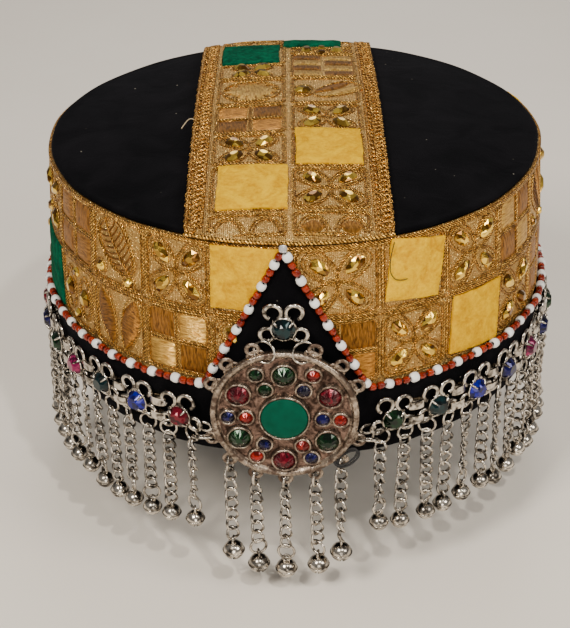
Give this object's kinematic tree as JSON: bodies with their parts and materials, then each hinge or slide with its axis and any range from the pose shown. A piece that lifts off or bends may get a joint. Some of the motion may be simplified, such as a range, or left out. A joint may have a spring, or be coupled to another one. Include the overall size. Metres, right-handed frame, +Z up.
{
  "type": "embroidered cap",
  "caption": "Velvet pillbox cap with patchwork gold trim round the side and over the crown, a peaked brow band, a jewelled medallion and a chain of bell drops.",
  "frame": {"origin": "the cap's middle at the level of the crown's edge, where it sits on a head", "axes": "+Z up, out of the crown; -Y is the front with the peak and medallion; +X is to the right seen from the front"},
  "size_m": [0.1984, 0.2009, 0.1411],
  "materials": {
    "black_velvet": "cotton velvet, matt",
    "gold_trim": "metal thread weave, satin",
    "gold_braid": "looped metal braid",
    "yellow_velvet": "short pile",
    "green_velvet": "short pile",
    "old_silver": "darkened cast metal",
    "bright_steel": "plated wire and sheet",
    "green_glass": "polished",
    "red_glass": "polished, cut",
    "blue_glass": "polished, cut"
  },
  "bodies": {
    "root": {"cap_shell": "black_velvet", "velvet_band": "black_velvet", "side_trim": "gold_trim", "crown_trim": "gold_trim", "crown_braid_left": "gold_braid", "crown_braid_right": "gold_braid", "yellow_patch_side_1": "yellow_velvet", "yellow_patch_side_2": "yellow_velvet", "yellow_patch_side_3": "yellow_velvet", "yellow_patch_side_4": "yellow_velvet", "yellow_patch_side_5": "yellow_velvet", "yellow_patch_side_6": "yellow_velvet", "green_patch_side_1": "green_velvet", "green_patch_side_2": "green_velvet", "yellow_patch_crown_1": "yellow_velvet", "yellow_patch_crown_2": "yellow_velvet", "green_patch_crown_1": "green_velvet", "green_patch_crown_2": "green_velvet", "medallion": "old_silver", "stone_middle": "green_glass", "stone_large_1": "green_glass", "stone_large_2": "red_glass", "stone_large_3": "green_glass", "stone_large_4": "red_glass", "stone_large_5": "green_glass", "stone_large_6": "red_glass", "stone_small_1": "red_glass", "stone_small_2": "blue_glass", "stone_small_3": "blue_glass", "stone_small_4": "red_glass", "stone_small_5": "red_glass", "stone_small_6": "blue_glass", "stone_small_7": "red_glass", "stone_small_8": "blue_glass", "stone_small_9": "red_glass", "stone_small_10": "blue_glass", "stone_small_11": "green_glass", "stone_small_12": "green_glass", "peak_clover": "bright_steel", "medallion_drop_1": "bright_steel", "medallion_drop_2": "bright_steel", "medallion_drop_3": "bright_steel", "medallion_drop_4": "bright_steel", "medallion_drop_5": "bright_steel", "side_chain_right": "bright_steel", "side_chain_left": "bright_steel"}
  },
  "joints": []
}
